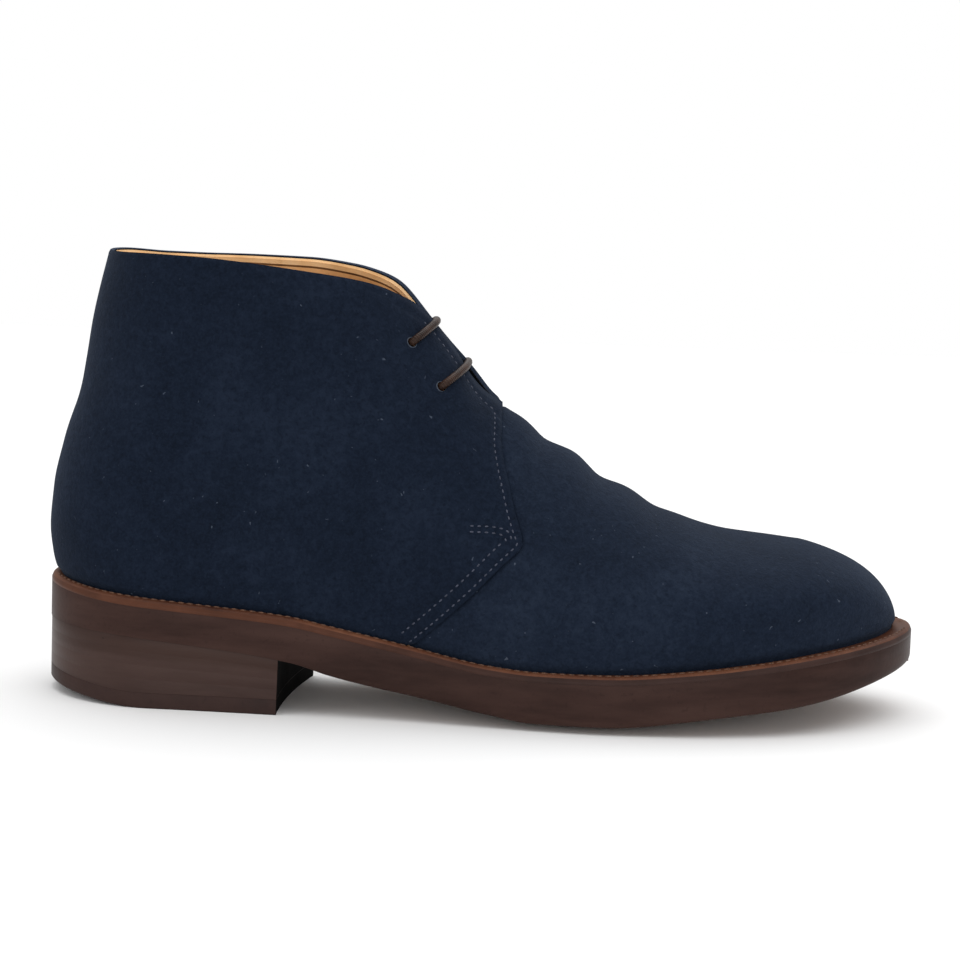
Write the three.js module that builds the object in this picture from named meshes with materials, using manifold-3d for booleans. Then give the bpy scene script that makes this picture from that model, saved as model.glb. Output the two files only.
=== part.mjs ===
// Two-eyelet chukka boot for the right foot: a hollow suede upper on a welted leather sole
// with a stacked heel. Millimetres, +X towards the toe, +Y towards the medial side, +Z up.
// The origin lies on the floor, under the middle of the boot's bounding box.
// In every table x is the distance in front of the back of the heel.
import * as THREE from 'three';
import Module from 'manifold-3d';

const wasm = await Module();
wasm.setup();

// ---------- driving sizes ----------
const SOLE_LENGTH = 305.8;
const BACK_OVERHANG = 0.7;
const HEEL_LENGTH = 90;
const HEEL_ROUND = 39;
const TOE_ROUND = 64;
const TOE_FULLNESS = 2.15;
const GAP = 0.3;

const WELT_THICKNESS = 3;
const SOLE_EDGE_CHAMFER = 0.7;
const SOLE_CROWN = 2.4;
const SOLE_CROWN_WIDTH = 16;
const TOP_PIECE_THICKNESS = 5.4;
const HEEL_INSET = 0.2;
const BREAST_HOLLOW = 2.5;
const BREAST_TURN = 8;
const BREAST_LEAN = 0.3;

const WALL = 2.6;
const UPPER_BACK = 2.2;
const UPPER_TOE = 299.8;
const FEATHER_SCALE = 0.935;
const BULGE = 0.045;
const BULGE_HEIGHT = 15;
const TOE_CAP_LENGTH = 35;
const TOE_CAP_DROP = 1.5;
const SHAFT_TOP = 172;
const COLLAR_FLARE = 0.06;

const EYELET_RADIUS = 2;
const LACE_RADIUS = 1.15;
const LACE_CLEARANCE = 0.9;
const TONGUE_THICKNESS = 2;
const TONGUE_HALF_WIDTH = 23;
const INSOLE_THICKNESS = 4;

// Sole outline from above: the last's axis and the half-breadths before the ends are rounded.
const PLAN = [
  { x: 0, axis: 2, lateral: 36, medial: 35 },
  { x: 40, axis: 0.5, lateral: 37, medial: 34 },
  { x: 86, axis: 0, lateral: 40.2, medial: 30.5 },
  { x: 120, axis: 1, lateral: 44, medial: 26 },
  { x: 155, axis: 3, lateral: 52, medial: 30.5 },
  { x: 195, axis: 6, lateral: 60.5, medial: 42.5 },
  { x: 228, axis: 9, lateral: 62.6, medial: 45.5 },
  { x: 250, axis: 11, lateral: 60.6, medial: 42.5 },
  { x: 308, axis: 11.5, lateral: 48, medial: 32 },
];

// Heights of the sole along its length: underside of the outsole, and top of the welt.
const SOLE = [
  { x: 0, under: 26, welt: 41.6 },
  { x: 20, under: 25.4, welt: 39.4 },
  { x: 50, under: 23, welt: 37 },
  { x: 86, under: 18.7, welt: 34.1 },
  { x: 101, under: 14.2, welt: 31.3 },
  { x: 129, under: 7, welt: 25.8 },
  { x: 156, under: 1.9, welt: 21 },
  { x: 170, under: 0, welt: 20 },
  { x: 195, under: 0, welt: 20.2 },
  { x: 230, under: 3.8, welt: 23 },
  { x: 265, under: 8.1, welt: 27.2 },
  { x: 306, under: 16.8, welt: 31.4 },
];

// Tread of the heel: flat in front, bevelled up behind.
const TREAD = [
  { x: 0, z: 4.2 },
  { x: 12, z: 2.4 },
  { x: 36, z: 0 },
  { x: 90, z: 0 },
];

// Ridge of the upper above the floor, and how full the sections are below it.
const RIDGE = [
  { x: 0, z: 308, fullness: 2.2 },
  { x: 60, z: 230, fullness: 2 },
  { x: 100, z: 177, fullness: 1.65 },
  { x: 129, z: 139.4, fullness: 1.36 },
  { x: 142, z: 122.9, fullness: 1.32 },
  { x: 154, z: 107.6, fullness: 1.3 },
  { x: 166, z: 98.4, fullness: 1.38 },
  { x: 183, z: 87.8, fullness: 1.5 },
  { x: 198, z: 78.4, fullness: 1.7 },
  { x: 212, z: 71, fullness: 1.85 },
  { x: 230, z: 64.4, fullness: 2 },
  { x: 254, z: 60.1, fullness: 2.15 },
  { x: 272, z: 58.9, fullness: 2.25 },
  { x: 300, z: 61.5, fullness: 2.3 },
];

// Back seam of the upper: how far forward it stands at each height.
const BACK = [
  { z: 30, x: 4.6 },
  { z: 40, x: 2.4 },
  { z: 48, x: 0.4 },
  { z: 59, x: -0.8 },
  { z: 72, x: 0.2 },
  { z: 88, x: 3.4 },
  { z: 104, x: 7.9 },
  { z: 118, x: 11 },
  { z: 136, x: 13.9 },
  { z: 155, x: 18.2 },
  { z: 190, x: 25 },
];

// Height of the collar edge on each side, back to front.
const COLLAR = [
  { x: -20, lateral: 155.1, medial: 154.6 },
  { x: 17, lateral: 155.1, medial: 154.6 },
  { x: 36, lateral: 155.5, medial: 153.5 },
  { x: 50, lateral: 155.2, medial: 153.3 },
  { x: 68, lateral: 153.8, medial: 153.5 },
  { x: 87, lateral: 151.5, medial: 153.5 },
  { x: 104, lateral: 148.9, medial: 152 },
  { x: 113, lateral: 146.6, medial: 150 },
  { x: 121, lateral: 143.2, medial: 147 },
  { x: 130, lateral: 138.4, medial: 141 },
  { x: 150, lateral: 124, medial: 125 },
];

// Lacing holes as seen from the side, with their distance back from the ridge.
const EYELETS = [
  { name: 'lace_bar_upper', ridgeX: 133.2, depth: 10.2 },
  { name: 'lace_bar_lower', ridgeX: 144.6, depth: 11 },
];
const THROAT = { x: 155, z: 106, halfWidth: 1.6 };
const FACING_TOP = { x: 128, z: 141, halfWidth: 4 };

// ---------- materials ----------
const leather = (color, roughness) => new THREE.MeshStandardMaterial({ color, roughness, metalness: 0 });
const suede = leather(0x232d3f, 0.95);
const soleLeather = leather(0x4a332c, 0.5);
const weltLeather = leather(0x7c4a2e, 0.55);
const heelLeather = leather(0x5b443c, 0.45);
const topPieceLeather = leather(0x3c2a26, 0.5);
const liningLeather = leather(0xcb9358, 0.7);
const laceCotton = leather(0x4b382f, 0.6);

// ---------- helpers ----------
// Shape-preserving cubic through one column of a table.
function column(rows, key, at, along = 'x') {
  const last = rows.length - 1;
  const position = Math.min(Math.max(at, rows[0][along]), rows[last][along]);
  let i = 0;
  while (i < last - 1 && position > rows[i + 1][along]) i += 1;
  const step = (k) => rows[k + 1][along] - rows[k][along];
  const rise = (k) => (rows[k + 1][key] - rows[k][key]) / step(k);
  const slope = (k) => {
    if (k === 0) return rise(0);
    if (k === last) return rise(last - 1);
    const [before, after] = [rise(k - 1), rise(k)];
    if (before * after <= 0) return 0;
    const [near, far] = [2 * step(k) + step(k - 1), step(k) + 2 * step(k - 1)];
    return (near + far) / (near / before + far / after);
  };
  const width = step(i);
  const t = (position - rows[i][along]) / width;
  const bend = (1 - t) * (1 - t);
  return rows[i][key] * (1 + 2 * t) * bend + rows[i + 1][key] * t * t * (3 - 2 * t)
    + width * (slope(i) * t * bend - slope(i + 1) * t * t * (1 - t));
}

const clamp01 = (value) => Math.min(1, Math.max(0, value));
const smooth = (value) => clamp01(value) ** 2 * (3 - 2 * clamp01(value));
// Quarter round: 0 at the end of a form, 1 once it is `length` away from it.
const endRound = (distance, length) => Math.sqrt(Math.max(0, 1 - (1 - clamp01(distance / length)) ** 2));
const toeRound = (distance, length, power) => Math.sqrt(Math.max(0, 1 - (1 - clamp01(distance / length)) ** power));

// Closed solid through closed loops of equal, even length, its ends shut by strips from one
// half of the loop to the other.
function loft(loops) {
  const size = loops[0].length;
  const points = loops.flat();
  const triangles = [];
  for (let j = 0; j < loops.length - 1; j += 1) {
    for (let i = 0; i < size; i += 1) {
      const [a, b] = [j * size + i, j * size + ((i + 1) % size)];
      triangles.push([a, b, b + size], [a, b + size, a + size]);
    }
  }
  const end = (loops.length - 1) * size;
  for (let i = 0; i < size / 2 - 1; i += 1) {
    const [a, b, c, d] = [i, i + 1, size - 2 - i, size - 1 - i];
    triangles.push([a, c, b], [a, d, c]);
    triangles.push([end + a, end + b, end + c], [end + a, end + c, end + d]);
  }
  return solidOf(points, triangles);
}

function solidOf(points, triangles) {
  const volume = triangles.reduce((sum, [a, b, c]) => {
    const normal = new THREE.Vector3().crossVectors(points[b], points[c]);
    return sum + points[a].dot(normal);
  }, 0);
  const outward = volume > 0 ? triangles : triangles.map(([a, b, c]) => [a, c, b]);
  return new wasm.Manifold(new wasm.Mesh({
    numProp: 3,
    vertProperties: new Float32Array(points.flatMap((p) => [p.x, p.y, p.z])),
    triVerts: new Uint32Array(outward.flat()),
  }));
}

// Solid from a three.js geometry whose corners are merged by position.
function solidFromGeometry(geometry) {
  const position = geometry.getAttribute('position');
  const corners = geometry.index ? Array.from(geometry.index.array) : [...Array(position.count).keys()];
  const points = [];
  const seen = new Map();
  const merged = corners.map((corner) => {
    const point = new THREE.Vector3().fromBufferAttribute(position, corner);
    const key = point.toArray().map((value) => value.toFixed(4)).join();
    if (!seen.has(key)) seen.set(key, points.push(point) - 1);
    return seen.get(key);
  });
  const triangles = [];
  for (let i = 0; i < merged.length; i += 3) {
    const [a, b, c] = merged.slice(i, i + 3);
    if (a !== b && b !== c && c !== a) triangles.push([a, b, c]);
  }
  return solidOf(points, triangles);
}

// Largest body of a solid, without the slivers that a cut can leave.
function mainBody(solid) {
  return solid.decompose().reduce((best, piece) => (piece.volume() > best.volume() ? piece : best));
}

// Prism across the boot from an outline drawn in the side view.
function sidePrism(outline, yMin, yMax) {
  const shape = new THREE.Shape(outline.map((p) => new THREE.Vector2(p.x, p.z)));
  const geometry = new THREE.ExtrudeGeometry(shape, { depth: yMax - yMin, bevelEnabled: false });
  geometry.rotateX(Math.PI / 2);
  geometry.translate(0, yMax, 0);
  return solidFromGeometry(geometry);
}

// Stations from one end of a form to the other, close together where the ends are round.
function stations(from, to, count) {
  return Array.from({ length: count + 1 }, (_, j) => {
    const t = 0.006 + (0.988 * j) / count;
    return from + ((to - from) * (1 - Math.cos(Math.PI * t))) / 2;
  });
}

// ---------- the sole's outline ----------
const planAxis = (x) => column(PLAN, 'axis', x);
const underside = (x) => column(SOLE, 'under', x);
const weltTop = (x) => column(SOLE, 'welt', x);
const soleTop = (x) => weltTop(x) - WELT_THICKNESS - GAP;

function planEdge(x, side, inset = 0) {
  const scaled = ((x - inset) * SOLE_LENGTH) / (SOLE_LENGTH - 2 * inset);
  const breadth = column(PLAN, side < 0 ? 'lateral' : 'medial', scaled) - inset;
  const ends = endRound(scaled, HEEL_ROUND) * toeRound(SOLE_LENGTH - scaled, TOE_ROUND, TOE_FULLNESS);
  return planAxis(scaled) + side * breadth * ends;
}

// Plate with the sole's outline between two surfaces: its underside is flat in the middle,
// crowned up towards both edges and chamfered there.
function solePlate(from, to, count, bottom, top, inset, chamfer, crownAt = () => 0) {
  return loft(stations(from, to, count).map((x) => {
    const [lateral, medial] = [planEdge(x, -1, inset), planEdge(x, 1, inset)];
    const cut = Math.min(chamfer, (medial - lateral) / 6);
    const flat = Math.min(SOLE_CROWN_WIDTH, (medial - lateral) / 3);
    const crown = crownAt(x);
    const corner = (y, z) => new THREE.Vector3(x, y, z);
    return [
      corner(lateral, top(x)),
      corner(lateral, bottom(x) + crown + cut),
      corner(lateral + cut, bottom(x) + crown),
      corner(lateral + flat, bottom(x)),
      corner(medial - flat, bottom(x)),
      corner(medial - cut, bottom(x) + crown),
      corner(medial, bottom(x) + crown + cut),
      corner(medial, top(x)),
    ];
  }));
}

// ---------- the upper's form ----------
const backSeam = (z) => column(BACK, 'x', z, 'z');
const ridgeSlope = (x) => (column(RIDGE, 'z', x + 1) - column(RIDGE, 'z', x - 1)) / 2;
const toSole = (x) => ((x - UPPER_BACK) * SOLE_LENGTH) / (UPPER_TOE - UPPER_BACK);
const upperAxis = (x) => planAxis(toSole(x));

function ridgeHeight(x, inset = 0) {
  const feather = weltTop(x);
  const toTip = UPPER_TOE - inset - x;
  const drop = toeRound(toTip, TOE_CAP_LENGTH, TOE_CAP_DROP);
  const lowered = column(RIDGE, 'z', x) - inset * Math.hypot(1, ridgeSlope(x));
  return feather + (lowered - feather) * drop;
}

// Half-breadth of the upper on one side of its axis at a point of the side view.
function halfBreadth(x, z, side, inset = 0) {
  const scaled = toSole(x);
  const feather = column(PLAN, side < 0 ? 'lateral' : 'medial', scaled) * FEATHER_SCALE - inset;
  const bulgeLevel = weltTop(x) + BULGE_HEIGHT * toeRound(UPPER_TOE - inset - x, TOE_CAP_LENGTH, TOE_CAP_DROP);
  const rising = Math.sin((Math.PI / 2) * clamp01((z - weltTop(x)) / (bulgeLevel - weltTop(x))));
  const top = Math.max(ridgeHeight(x, inset), bulgeLevel + 0.1);
  const climbed = clamp01((z - bulgeLevel) / (top - bulgeLevel));
  const arch = Math.sqrt(1 - climbed ** column(RIDGE, 'fullness', x));
  const collar = 1 + COLLAR_FLARE * smooth((z - 105) / 45) * smooth((140 - x) / 40);
  const back = endRound(x - backSeam(z) - inset, HEEL_ROUND);
  const toe = toeRound(UPPER_TOE - inset - x, TOE_ROUND - 4, TOE_FULLNESS);
  return feather * (1 + BULGE * rising) * arch * collar * back * toe;
}

// The upper as a closed form reaching above the collar, moved inwards by `inset`.
function upperForm(inset, bottomDrop) {
  const bulgeLevels = 3;
  const highLevels = 9;
  const back = UPPER_BACK + inset;
  const toe = UPPER_TOE - inset;
  const straightFrom = 60;
  return loft(stations(back, toe, 42).map((nominal) => {
    const lean = clamp01((straightFrom - nominal) / (straightFrom - back));
    const xAt = (z) => nominal + (backSeam(z) + inset - back) * lean;
    const base = xAt(weltTop(nominal));
    const rim = weltTop(base) - WELT_THICKNESS - bottomDrop;
    const reach = toeRound(UPPER_TOE - inset - base, TOE_CAP_LENGTH, TOE_CAP_DROP);
    const bulgeLevel = weltTop(base) + BULGE_HEIGHT * reach;
    const summit = Math.max(ridgeHeight(base, inset), bulgeLevel + 0.4);
    const lastTurn = Math.asin(clamp01((SHAFT_TOP + inset - bulgeLevel) / (summit - bulgeLevel)));
    const levels = [rim];
    for (let i = 0; i < bulgeLevels; i += 1) {
      levels.push(weltTop(base) + ((bulgeLevel - weltTop(base)) * i) / bulgeLevels);
    }
    for (let i = 0; i <= highLevels; i += 1) {
      const turn = (Math.min(lastTurn, Math.PI / 2 - 0.02) * i) / highLevels;
      levels.push(bulgeLevel + (summit - bulgeLevel) * Math.sin(turn));
    }
    const wallSide = (side) => levels.map((z) => {
      const x = xAt(z);
      const half = Math.max(0.05, halfBreadth(x, z, side, inset));
      return new THREE.Vector3(x, upperAxis(x) + side * half, z);
    });
    return [...wallSide(-1), ...wallSide(1).reverse()];
  }));
}

// Point on the outside of the upper, `depth` behind the ridge and square to it, and its normal.
function nearRidge(ridgeX, depth, side) {
  const slope = ridgeSlope(ridgeX);
  const inward = new THREE.Vector2(slope, -1).normalize();
  const at = (d) => ({ x: ridgeX + inward.x * d, z: column(RIDGE, 'z', ridgeX) + inward.y * d });
  const surface = ({ x, z }) => new THREE.Vector3(x, upperAxis(x) + side * halfBreadth(x, z, side), z);
  const here = at(depth);
  const alongX = surface({ x: here.x + 0.5, z: here.z }).sub(surface({ x: here.x - 0.5, z: here.z }));
  const alongZ = surface({ x: here.x, z: here.z + 0.5 }).sub(surface({ x: here.x, z: here.z - 0.5 }));
  const normal = alongX.cross(alongZ).normalize();
  if (normal.y * side < 0) normal.negate();
  return { point: surface(here), normal };
}

// ---------- the pieces ----------
function outsole() {
  const crown = (x) => SOLE_CROWN * smooth((x - 95) / 45);
  return solePlate(0, SOLE_LENGTH, 48, underside, soleTop, 0, SOLE_EDGE_CHAMFER, crown);
}

function welt(clearForm) {
  const bottom = (x) => soleTop(x) + GAP;
  return solePlate(0.2, SOLE_LENGTH - 0.2, 48, bottom, weltTop, 0.2, 0.2).subtract(clearForm);
}

// Everything in front of the heel breast, which is hollowed and leans back towards the floor.
function breastCutter() {
  const radius = (40 ** 2) / (2 * BREAST_HOLLOW);
  const sweep = Math.asin(60 / radius);
  const shape = new THREE.Shape();
  shape.absarc(radius - BREAST_HOLLOW, 0, radius, Math.PI - sweep, Math.PI + sweep, false);
  shape.lineTo(80, -60);
  shape.lineTo(80, 60);
  const geometry = new THREE.ExtrudeGeometry(shape, { depth: 60, bevelEnabled: false, curveSegments: 16 });
  geometry.translate(0, 0, -20);
  geometry.rotateY(Math.atan(BREAST_LEAN / 18));
  geometry.rotateZ(THREE.MathUtils.degToRad(-BREAST_TURN));
  geometry.translate(HEEL_LENGTH - 1.5, 0, 0);
  return solidFromGeometry(geometry);
}

function heelLayer(bottom, top, chamfer) {
  return solePlate(HEEL_INSET, HEEL_LENGTH + 12, 22, bottom, top, HEEL_INSET, chamfer).subtract(breastCutter());
}

const tread = (x) => column(TREAD, 'z', x);
const topPieceTop = (x) => tread(x) * 0.95 + TOP_PIECE_THICKNESS;

function collarCutter() {
  const above = 220;
  const beside = 70;
  const level = 22;
  return loft(Array.from({ length: 29 }, (_, i) => {
    const x = -18 + i * 6;
    const [lateral, medial] = [column(COLLAR, 'lateral', x), column(COLLAR, 'medial', x)];
    return [
      new THREE.Vector3(x, -beside, above),
      new THREE.Vector3(x, -beside, lateral),
      new THREE.Vector3(x, -level, lateral),
      new THREE.Vector3(x, level, medial),
      new THREE.Vector3(x, beside, medial),
      new THREE.Vector3(x, beside, above),
    ];
  }));
}

// Slit between the two facings, wider at the collar than at the throat.
function throatCutter() {
  const along = new THREE.Vector2(FACING_TOP.x - THROAT.x, FACING_TOP.z - THROAT.z).normalize();
  const across = new THREE.Vector2(along.y, -along.x);
  const rows = [
    { at: 0, halfWidth: THROAT.halfWidth * 0.5 },
    { at: 2, halfWidth: THROAT.halfWidth },
    { at: 44, halfWidth: FACING_TOP.halfWidth },
    { at: 62, halfWidth: FACING_TOP.halfWidth + 4 },
  ];
  return loft(rows.map(({ at, halfWidth }) => {
    const x = THROAT.x + along.x * at;
    const z = THROAT.z + along.y * at;
    const corner = (out, side) => new THREE.Vector3(
      x + across.x * out, upperAxis(x) + side * halfWidth, z + across.y * out);
    return [corner(-11, -1), corner(-11, 1), corner(14, 1), corner(14, -1)];
  }));
}

function eyeletCutter({ ridgeX, depth }, side) {
  const { point, normal } = nearRidge(ridgeX, depth, side);
  const geometry = new THREE.CylinderGeometry(EYELET_RADIUS, EYELET_RADIUS, 12, 16);
  geometry.applyQuaternion(new THREE.Quaternion().setFromUnitVectors(new THREE.Vector3(0, 1, 0), normal));
  geometry.translate(point.x, point.y, point.z);
  return solidFromGeometry(geometry);
}

function upper(outer) {
  let shell = outer.subtract(upperForm(WALL, 12)).subtract(collarCutter()).subtract(throatCutter());
  for (const eyelet of EYELETS) {
    shell = shell.subtract(eyeletCutter(eyelet, -1)).subtract(eyeletCutter(eyelet, 1));
  }
  return shell;
}

// Tongue: a curved tab lying under both facings, sewn in below the throat.
function tongue() {
  const outside = upperForm(WALL + 0.6, 0);
  const inside = upperForm(WALL + 0.6 + TONGUE_THICKNESS, 20);
  const band = [
    { x: 186, z: 62 }, { x: 186, z: 110 }, { x: 140, z: 155 },
    { x: 124, z: 140 }, { x: 108, z: 129 }, { x: 150, z: 78 },
  ];
  return outside.subtract(inside).intersect(sidePrism(band, -TONGUE_HALF_WIDTH + 1.5, TONGUE_HALF_WIDTH + 1.5));
}

function insole() {
  const bottom = (x) => soleTop(x) + GAP + 0.1;
  const plate = solePlate(1, SOLE_LENGTH - 1, 48, bottom, (x) => bottom(x) + INSOLE_THICKNESS, 1, 0.1);
  return mainBody(plate.intersect(upperForm(WALL + 0.5, 12)));
}

// Straight bar of lace lying over the facings between a pair of holes.
function laceBar({ ridgeX, depth }) {
  const lift = LACE_RADIUS + LACE_CLEARANCE;
  const above = (d, side, height) => {
    const { point, normal } = nearRidge(ridgeX, d, side);
    return point.addScaledVector(normal, height);
  };
  const path = new THREE.CatmullRomCurve3([
    above(depth, -1, lift + 0.2),
    above(depth * 0.6, -1, lift + 0.3),
    above(depth * 0.22, -1, lift + 0.4),
    above(depth * 0.22, 1, lift + 0.4),
    above(depth * 0.6, 1, lift + 0.3),
    above(depth, 1, lift + 0.2),
  ]);
  const section = new THREE.Shape();
  section.absarc(0, 0, LACE_RADIUS, 0, Math.PI * 2);
  const geometry = new THREE.ExtrudeGeometry(section, {
    steps: 20, extrudePath: path, curveSegments: 4, bevelEnabled: false,
  });
  return solidFromGeometry(geometry);
}

// ---------- assembly ----------
const boot = new THREE.Group();
boot.position.x = -(SOLE_LENGTH - BACK_OVERHANG) / 2;

function place(name, solid, material) {
  const { vertProperties, triVerts } = solid.getMesh();
  const geometry = new THREE.BufferGeometry();
  geometry.setAttribute('position', new THREE.BufferAttribute(new Float32Array(vertProperties), 3));
  geometry.setIndex(new THREE.BufferAttribute(new Uint32Array(triVerts), 1));
  geometry.computeVertexNormals();
  const mesh = new THREE.Mesh(geometry, material);
  mesh.name = name;
  boot.add(mesh);
}

const outerForm = upperForm(0, 0);
place('outsole', outsole(), soleLeather);
place('welt', welt(upperForm(-GAP, 2)), weltLeather);
place('heel_stack', heelLayer((x) => topPieceTop(x) + GAP, (x) => underside(x) - GAP, 0.2), heelLeather);
place('heel_top_piece', heelLayer(tread, topPieceTop, 0.8), topPieceLeather);
place('upper', upper(outerForm), suede);
place('tongue', tongue(), suede);
place('insole', insole(), liningLeather);
for (const eyelet of EYELETS) place(eyelet.name, laceBar(eyelet), laceCotton);

const model = new THREE.Group();
model.add(boot);
export default model;
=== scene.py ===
"""Two-eyelet suede chukka boot for the right foot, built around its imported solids.

Sizes are in millimetres along the boot, from the back of the heel, until place() turns them into
the frame's metres: +X towards the toe, +Y towards the medial side, +Z up.
"""
import math

import bpy
import numpy as np
from mathutils import Matrix, Vector


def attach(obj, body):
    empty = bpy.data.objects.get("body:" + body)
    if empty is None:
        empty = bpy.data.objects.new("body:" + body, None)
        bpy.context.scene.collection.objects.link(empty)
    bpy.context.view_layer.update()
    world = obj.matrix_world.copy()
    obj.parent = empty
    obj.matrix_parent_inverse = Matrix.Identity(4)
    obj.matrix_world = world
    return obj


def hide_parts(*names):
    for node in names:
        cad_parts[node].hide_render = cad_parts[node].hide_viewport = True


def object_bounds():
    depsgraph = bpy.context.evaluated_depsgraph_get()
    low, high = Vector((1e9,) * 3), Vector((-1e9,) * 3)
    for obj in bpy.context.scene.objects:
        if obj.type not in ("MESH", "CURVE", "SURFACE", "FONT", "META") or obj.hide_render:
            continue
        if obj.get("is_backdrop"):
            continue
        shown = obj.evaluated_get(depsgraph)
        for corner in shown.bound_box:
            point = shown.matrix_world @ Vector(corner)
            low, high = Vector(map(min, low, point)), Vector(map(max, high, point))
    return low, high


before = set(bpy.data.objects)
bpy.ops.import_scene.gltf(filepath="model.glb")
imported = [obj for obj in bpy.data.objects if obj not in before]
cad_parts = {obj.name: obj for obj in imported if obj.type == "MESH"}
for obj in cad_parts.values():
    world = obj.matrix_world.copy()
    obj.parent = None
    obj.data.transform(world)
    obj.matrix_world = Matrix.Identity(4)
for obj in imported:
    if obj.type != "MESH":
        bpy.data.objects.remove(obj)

CAD_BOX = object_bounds()

# ---------- driving sizes ----------
SOLE_LENGTH = 305.8
BACK_OVERHANG = 0.7
HEEL_LENGTH = 90
HEEL_ROUND = 39
TOE_ROUND = 64
TOE_FULLNESS = 2.15
SOLE_CROWN = 2.4
SOLE_CROWN_WIDTH = 16
CROWN_START = 95
CROWN_RUN = 45
WELT_THICKNESS = 3
WELT_BEVEL = 1.9
TOP_PIECE_THICKNESS = 5.4
HEEL_INSET = 0.2
BREAST_HOLLOW = 2.5
BREAST_TURN = 8
BREAST_LEAN = 0.3
EDGE_SWELL = 0.12
LAYER_GAP = 0.03

UPPER_BACK = 2.2
UPPER_TOE = 299.8
FEATHER_SCALE = 0.935
BULGE = 0.045
BULGE_HEIGHT = 15
TOE_CAP_LENGTH = 35
TOE_CAP_DROP = 1.5
UPPER_TOE_ROUND = 60
COLLAR_FLARE = 0.06
FLARE_BOTTOM = 105
FLARE_RISE = 45
FLARE_FRONT = 140
FLARE_FADE = 40

SUEDE_THICKNESS = 1.3
LINING_THICKNESS = 1.0
FACING_TOP_X = 127.5
EYELETS = ((133.2, 10.2), (144.6, 11.0))
EYELET_RADIUS = 1.75
LACE_RADIUS = 1.4
STITCH = {"length": 1.35, "radius": 0.33, "pitch": 2.5}
WELT_STITCH = {"length": 2.3, "radius": 0.36, "pitch": 3.1}
STITCH_INSET = 2.4
ROW_GAP = 4.0
WELT_STITCH_INSET = 1.9

PLAN = {
    "x": (0, 40, 86, 120, 155, 195, 228, 250, 308),
    "axis": (2, 0.5, 0, 1, 3, 6, 9, 11, 11.5),
    "lateral": (36, 37, 40.2, 44, 52, 60.5, 62.6, 60.6, 48),
    "medial": (35, 34, 30.5, 26, 30.5, 42.5, 45.5, 42.5, 32),
}
SOLE = {
    "x": (0, 20, 50, 86, 101, 129, 156, 170, 195, 230, 265, 306),
    "under": (26, 25.4, 23, 18.7, 14.2, 7, 1.9, 0, 0, 3.8, 8.1, 16.8),
    "welt": (41.6, 39.4, 37, 34.1, 31.3, 25.8, 21, 20, 20.2, 23, 27.2, 31.4),
}
TREAD = {"x": (0, 12, 36, 90), "z": (4.2, 2.4, 0, 0)}
RIDGE = {
    "x": (0, 60, 100, 129, 142, 154, 166, 183, 198, 212, 230, 254, 272, 300),
    "z": (308, 230, 177, 139.4, 122.9, 107.6, 98.4, 87.8, 78.4, 71, 64.4, 60.1, 58.9, 61.5),
    "fullness": (2.2, 2, 1.65, 1.36, 1.32, 1.3, 1.38, 1.5, 1.7, 1.85, 2, 2.15, 2.25, 2.3),
}
BACK = {
    "z": (30, 40, 48, 59, 72, 88, 104, 118, 136, 155, 190),
    "x": (4.6, 2.4, 0.4, -0.8, 0.2, 3.4, 7.9, 11, 13.9, 18.2, 25),
}
COLLAR = {
    "x": (-20, 17, 36, 50, 68, 87, 104, 113, 121, 130, 150),
    "lateral": (155.1, 155.1, 155.5, 155.2, 153.8, 151.5, 148.9, 146.6, 143.2, 138.4, 124),
    "medial": (155.1, 155.1, 153.6, 153.3, 153.5, 153.5, 152, 150, 147, 141, 125),
}
# Free edge of a quarter in the side view: from the welt up the slant, then round the corner and
# up to the throat.
QUARTER_SLANT = (
    (121, 19), (131.6, 28.7), (148, 44.2), (158.5, 54.8), (162.3, 58.3), (164.5, 60.5), (165.2, 62.0),
)
QUARTER_FRONT = (
    (165.2, 62.0), (165.0, 63.6), (164.0, 67.2), (162.3, 72), (159.9, 80.8), (158.1, 87.2),
    (156.6, 95.5), (156.6, 103.4),
)
THROAT_X = QUARTER_FRONT[-1][0]
# How a fold comes and goes, as shares of its own length, and how much it widens on its way.
FOLD_START = 0.6
FOLD_ONSET = 0.5
FOLD_END = 1.15
FOLD_FADE = 0.9
FOLD_SPREAD = 0.5
# Creases of the vamp, and the swells between them with a depth below 0: where each leaves the
# ridge, where it dies out, its depth and its half-width.
CREASES = (  # top, end, depth, width
    ((173.5, 95), (161, 66), 0.9, 4.4),
    ((193.5, 82), (177, 50), 1.2, 5.2),
    ((213.5, 71), (200, 44), 0.7, 5.5),
    ((163.5, 103), (166, 84), -0.7, 4.0),
    ((183.5, 90), (173, 62), -0.8, 4.6),
    ((204.0, 77), (191, 52), -0.5, 5.2),
    ((236, 63), (226, 40), 0.5, 9.0),
)
# Soft dents of the quarters round the ankle.
DENTS = (  # top, end, depth, width
    ((24, 104), (74, 92), 0.9, 9),
    ((92, 112), (132, 84), 0.8, 10),
    ((40, 66), (96, 60), 0.5, 12),
    ((112, 128), (140, 108), 0.4, 7),
    ((50, 124), (104, 128), -0.5, 11),
    ((60, 82), (120, 64), -0.5, 10),
)

# Rounded edges of the welt and of the outsole: how far in from the side, and how far down or up.
WELT_EDGE = {
    "inset": (0.0, 0.12, 0.45, 0.95, 1.7, 2.6, 3.4),
    "drop": (2.2, WELT_BEVEL, 1.0, 0.45, 0.08, 0.0, 0.15),
}
FOOT_EDGE = {"inset": (0.0, 0.2, 0.7, 1.6), "rise": (1.6, 0.7, 0.2, 0.0)}

HEEL_BACK = np.array([-(SOLE_LENGTH - BACK_OVERHANG) / 2, 0.0, 0.0])
MM = 0.001


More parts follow.
